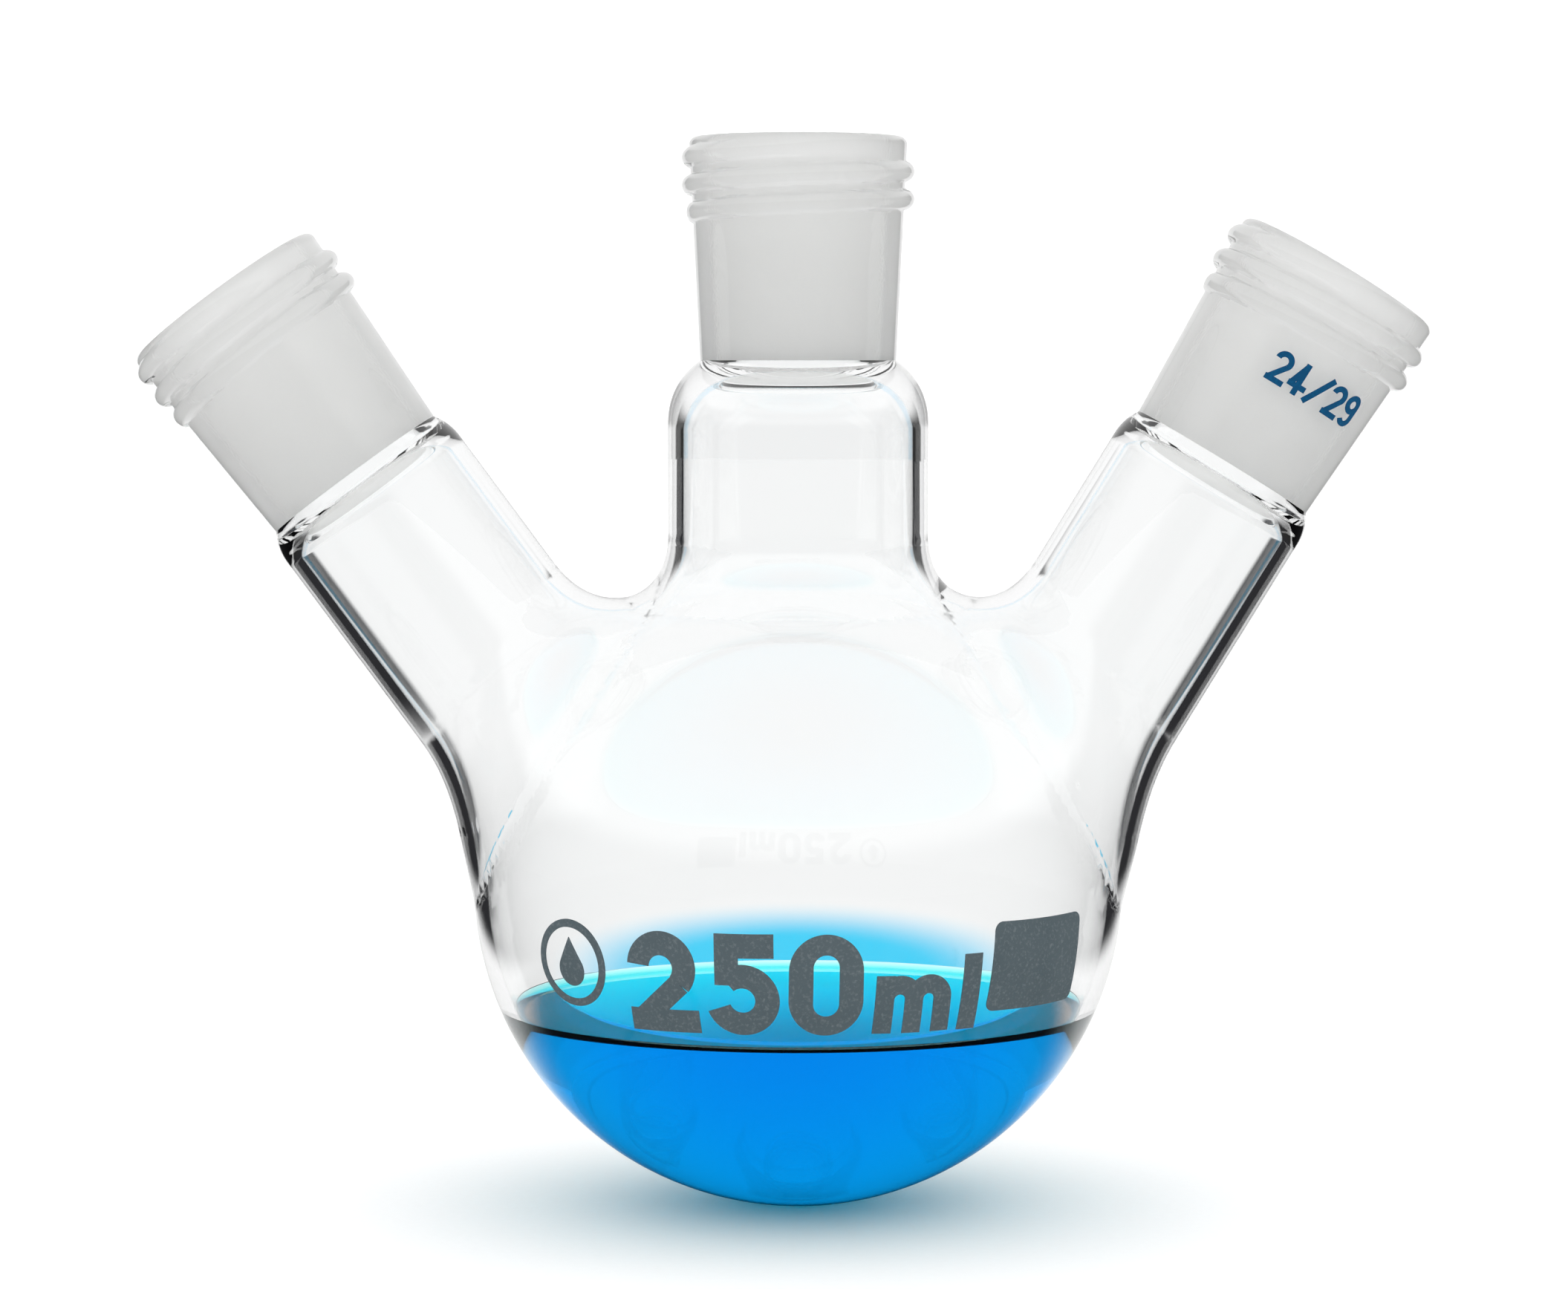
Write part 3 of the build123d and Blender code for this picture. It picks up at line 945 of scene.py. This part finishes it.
def ground_socket(neck):
    """One socket, from the seam to the rim."""
    outline = Outline()
    top = joint_length - rim_outer_round
    outline.straight((outer_wall(0.0), 0.0), (outer_wall(top), top), wall_steps)
    outer_centre = (outer_wall(top) - rim_outer_round, top)
    outline.arc(outer_centre, rim_outer_round, 0.0, math.pi / 2, outer_round_steps)
    inner_centre = (bore_large + rim_inner_round, joint_length - rim_inner_round)
    outline.arc(inner_centre, rim_inner_round, math.pi / 2, math.pi, inner_round_steps)
    mouth = (bore_large - rim_inner_round * joint_taper / 2, joint_length - rim_inner_round)
    outline.straight(mouth, (bore_small, 0.0), bore_steps, GROUND)
    outline.add(bore_small, 0.0, SEAM)

    def place(radius, angle, level):
        return neck.place(radius, angle, neck.seam + level)

    name = neck.name + "_ground_socket"
    mesh = turned_mesh(name, outline, place, threaded_radius)
    return add_piece(name, mesh, glass_slots, neck.name + "_socket")


for neck in necks:
    socket = ground_socket(neck)
    print(socket.name, len(socket.data.polygons), "faces")

# %% [markdown]
# The liquid wets the glass: it reaches the wall with no air between and climbs it a little, as a
# meniscus. Two skins in the same place would flicker, and a gap of air would shine like a mirror, so
# the liquid's side is set a little way into the wall.
# %% Liquid
wetting = 0.2 * MM
contact_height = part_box("blue_liquid")[1].z
meniscus_rise = 0.8 * MM
meniscus_width = 1.7 * MM
meniscus_curve = 2.6  # how quickly the rise dies away from the wall
bowl_steps = 110
meniscus_steps = 20
surface_steps = 24


def liquid_mesh():
    """The liquid, turned about the bulb's axis."""
    wall = ball_radius - ball_wall + wetting
    climb = math.acos((ball_radius - contact_height) / wall)
    outline = Outline()
    for step in range(bowl_steps):
        angle = climb * step / bowl_steps
        outline.add(wall * math.sin(angle), ball_radius - wall * math.cos(angle))
    outline.add(wall * math.sin(climb), contact_height)
    dry_contact = math.sqrt((wall - wetting) ** 2 - (contact_height - ball_radius) ** 2)
    level = contact_height - meniscus_rise
    for step in range(meniscus_steps):
        share = step / meniscus_steps
        rise = meniscus_rise * (1.0 - share) ** meniscus_curve
        outline.add(dry_contact - meniscus_width * share, level + rise)
    flat = dry_contact - meniscus_width
    outline.straight((flat, level), (0.0, level), surface_steps)
    outline.add(0.0, level)

    def place(radius, angle, height):
        return (radius * math.cos(angle), radius * math.sin(angle), height)

    return turned_mesh("blue_liquid_body", outline, place)


liquid = add_piece("blue_liquid_body", liquid_mesh(), [liquid_finish], "blue_liquid")
print("liquid", len(liquid.data.polygons), "faces")


# %% [markdown]
# Glass is drawn by what stands round it. A studio puts black cards beside a white sheet: light that runs
# straight through finds the sheet, and light that is bent or mirrored near an edge finds the cards, which
# draws the dark lines. No cards stand here. The floor and the light read how a ray got there: how often it
# was mirrored, how many surfaces it crossed and whether it had left matt paper before. For the rays that
# would find a card, the floor's colour is painted dark, and this paints the dark lines in the glass.
# %% How a ray got there
liquid_crossings = 4.5  # more surfaces than this are only crossed through the liquid
glass_crossings = 1.5


class RayStory:
    """Switches that tell how a ray reached the floor or the world."""

    def __init__(self, recipe):
        def depth(kind):
            return recipe.node("ShaderNodeLightPath", output=kind + " Depth")

        self.crossings = depth("Transmission")
        self.fresh = 1.0 - depth("Diffuse").at_most(1.0)  # not yet scattered by matt paper
        self.through_liquid = self.crossings.above(liquid_crossings) * self.fresh
        self.mirrored = depth("Glossy").at_most(1.0) * (self.fresh - self.through_liquid)
        clear = self.fresh - self.through_liquid - self.mirrored
        self.seen_through = self.crossings.above(glass_crossings) * clear
        self.in_glass = self.crossings.at_least(depth("Glossy")).at_most(1.0) * self.fresh


def split(recipe, place):
    """The parts of a direction or a point: its size sideways, its way back and its height."""
    sideways, back, rise = [recipe.node("ShaderNodeSeparateXYZ", None, {0: place}, part) for part in "XYZ"]
    return sideways.unsigned(), back, rise


print("ray switches ready")


# %% [markdown]
# The liquid is a lens and throws a blue glow on the paper behind the flask. Traced light needs very
# many samples for that, so the glow is part of the paper's colour. It is seen only through the glass,
# and only by rays that leave the bulb low down, a little above the liquid.
# %% Glow on the paper
glow_back = 0.2  # metres behind the flask
glow_tightness = (19.0, 9.5, 1.0)  # one over half its width and half its depth
glow_fade = (0.5, 1.1)  # where it starts to fade and where it ends, in those halves
glow_blue = (0.01, 0.5, 0.76)
exit_back = 0.042  # where rays leave the bulb
exit_height = 0.112  # rays that come from higher up find no glow


def blue_glow(recipe, story, place, back):
    """How strongly the paper glows at a point, from 0 to 1."""
    shift = (0.0, -glow_back * glow_tightness[1], 0.0)
    moved = {0: place, "Location": shift, "Scale": glow_tightness}
    middle = recipe.node("ShaderNodeMapping", None, moved)
    from_middle = recipe.node("ShaderNodeVectorMath", {"operation": "LENGTH"}, {0: middle}, "Value")
    reach = recipe.node("ShaderNodeLightPath", output="Ray Length")
    run = back - exit_back
    low_exit = 1.0 - (reach * reach - run * run).above(exit_height**2)
    return (1.0 - from_middle.eased(*glow_fade)) * low_exit * story.seen_through


print("glow", glow_back, "m behind the flask")


# %% [markdown]
# The paper is painted dark to both sides, where black cards would lie, but only for rays mirrored or bent
# in the glass. The glass shows this painted shade as its dark lines. Mirrored rays find it beside the
# flask and in front of it. Rays bent through the tubes find only a near strip, so that the flask stays
# clear from other sides.
# %% Painted shade on the paper
# painted shade: the black put into the paper's colour where the glass should show dark lines
painted_shade_black = (0.02, 0.02, 0.022)
painted_shade_start = (0.1, 0.14)  # soft edges of the painted shade, in metres: none at the first number, full shade at the second
painted_shade_end = (0.24, 0.3)
front_edge = (0.0, 0.05)
near_edge = (0.2, 0.23)
beside_slant = 0.62  # the painted shade's inner edge spreads out towards the back by this much a metre
beside_edge = (-0.1, -0.04)
bent_slant = 0.42
bent_edge = (-0.02, 0.02)


def painted_edge_shade(story, sideways, back):
    """Where the paper is painted dark for mirrored and bent rays, from 0 to 1."""
    shade_band = sideways.eased(*painted_shade_start)
    beside = (sideways - beside_slant * back).eased(*beside_edge) * shade_band
    in_front = 1.0 - back.eased(*front_edge)
    near_shade_strip = shade_band * (1.0 - sideways.eased(*painted_shade_end)) * back.eased(*near_edge)
    bent = story.seen_through * (sideways - bent_slant * back).eased(*bent_edge) * near_shade_strip
    return bent + story.mirrored * beside.at_least(in_front)


print("cards from", painted_shade_start[0], "m to each side")


# %% [markdown]
# The floor is pale paper with fine fibres. It belongs to the stage and not to the flask, so it is a
# plain round sheet, large enough for every view.
# %% Floor
floor_radius = 4.0
paper_in_glass = (0.76, 0.76, 0.76)  # paper seen in or through the glass is a little dimmer


def pale_paper():
    material, recipe = new_material("pale_paper")
    place = recipe.node("ShaderNodeTexCoord", output="Object")
    story = RayStory(recipe)
    sideways, back, _ = split(recipe, place)
    fibres = recipe.grain(900.0, 3.0)
    paper = recipe.blend_colors(fibres, (0.91, 0.91, 0.91), (0.94, 0.94, 0.94))
    dimmed = recipe.blend_colors(story.in_glass - story.through_liquid, paper, paper_in_glass)
    lit = recipe.blend_colors(blue_glow(recipe, story, place, back), dimmed, glow_blue)
    inputs = {
        # the paper's colour is painted black for mirrored and bent rays, a painted shade for the glass's dark
        # lines
        "Base Color": recipe.blend_colors(painted_edge_shade(story, sideways, back), lit, painted_shade_black),
        "Roughness": 0.9,
        "Specular IOR Level": 0.0,
        "Normal": recipe.bump(fibres, 0.05, 0.05 * MM),
    }
    recipe.finish(recipe.node("ShaderNodeBsdfPrincipled", None, inputs))
    return material


net = bmesh.new()
bmesh.ops.create_circle(net, cap_ends=True, segments=96, radius=floor_radius)
floor_mesh = bpy.data.meshes.new("paper_floor")
net.to_mesh(floor_mesh)
net.free()
floor_mesh.materials.append(pale_paper())
floor = bpy.data.objects.new("paper_floor", floor_mesh)
bpy.context.collection.objects.link(floor)
print("floor of pale paper, radius", floor_radius)


# %% [markdown]
# The light is one white dome, because lamps would leave hard spots on the glass. What glass mirrors
# finds the dome bright straight ahead and above and dark to the sides, and what the liquid's surface
# mirrors finds the liquid's own blue.
# %% Studio light
dome_light = 1.36
dome_in_glass = 0.995  # the dome seen in or through the glass is a little dimmer
dark_share = 0.97
ahead_edge = (0.04, 0.14)  # parts of a direction: bright before the first number, dark past the second
overhead_edge = (0.18, 0.36)
liquid_edge = (-0.26, -0.18)
liquid_skin_crossings = 3.5
liquid_blue = (0.0, 0.6, 1.0)


def studio_world():
    world = bpy.data.worlds.new("white_studio")
    recipe = Recipe(world)
    story = RayStory(recipe)
    sideways, back, rise = split(recipe, recipe.node("ShaderNodeTexCoord", output="Generated"))
    aside = sideways - bent_slant * back
    bright = (1.0 - aside.eased(*ahead_edge)).at_least(rise.eased(*overhead_edge))
    dark = story.mirrored * (1.0 - bright)
    dome = dome_light + (dome_in_glass - dome_light) * story.in_glass
    strength = dome * (1.0 - dark_share * dark)
    in_liquid_skin = story.mirrored * story.crossings.above(liquid_skin_crossings)
    tinted = in_liquid_skin * (1.0 - aside.eased(*liquid_edge))
    tint = recipe.blend_colors(tinted, (1.0, 1.0, 1.0), liquid_blue)
    light = recipe.node("ShaderNodeBackground", None, {"Color": tint, "Strength": strength})
    recipe.node("ShaderNodeOutputWorld", None, {"Surface": light})
    world.cycles.sampling_method = "NONE"
    return world


bpy.context.scene.world = studio_world()
bpy.context.scene.view_settings.view_transform = "Standard"
print("studio light", bpy.context.scene.world.name)
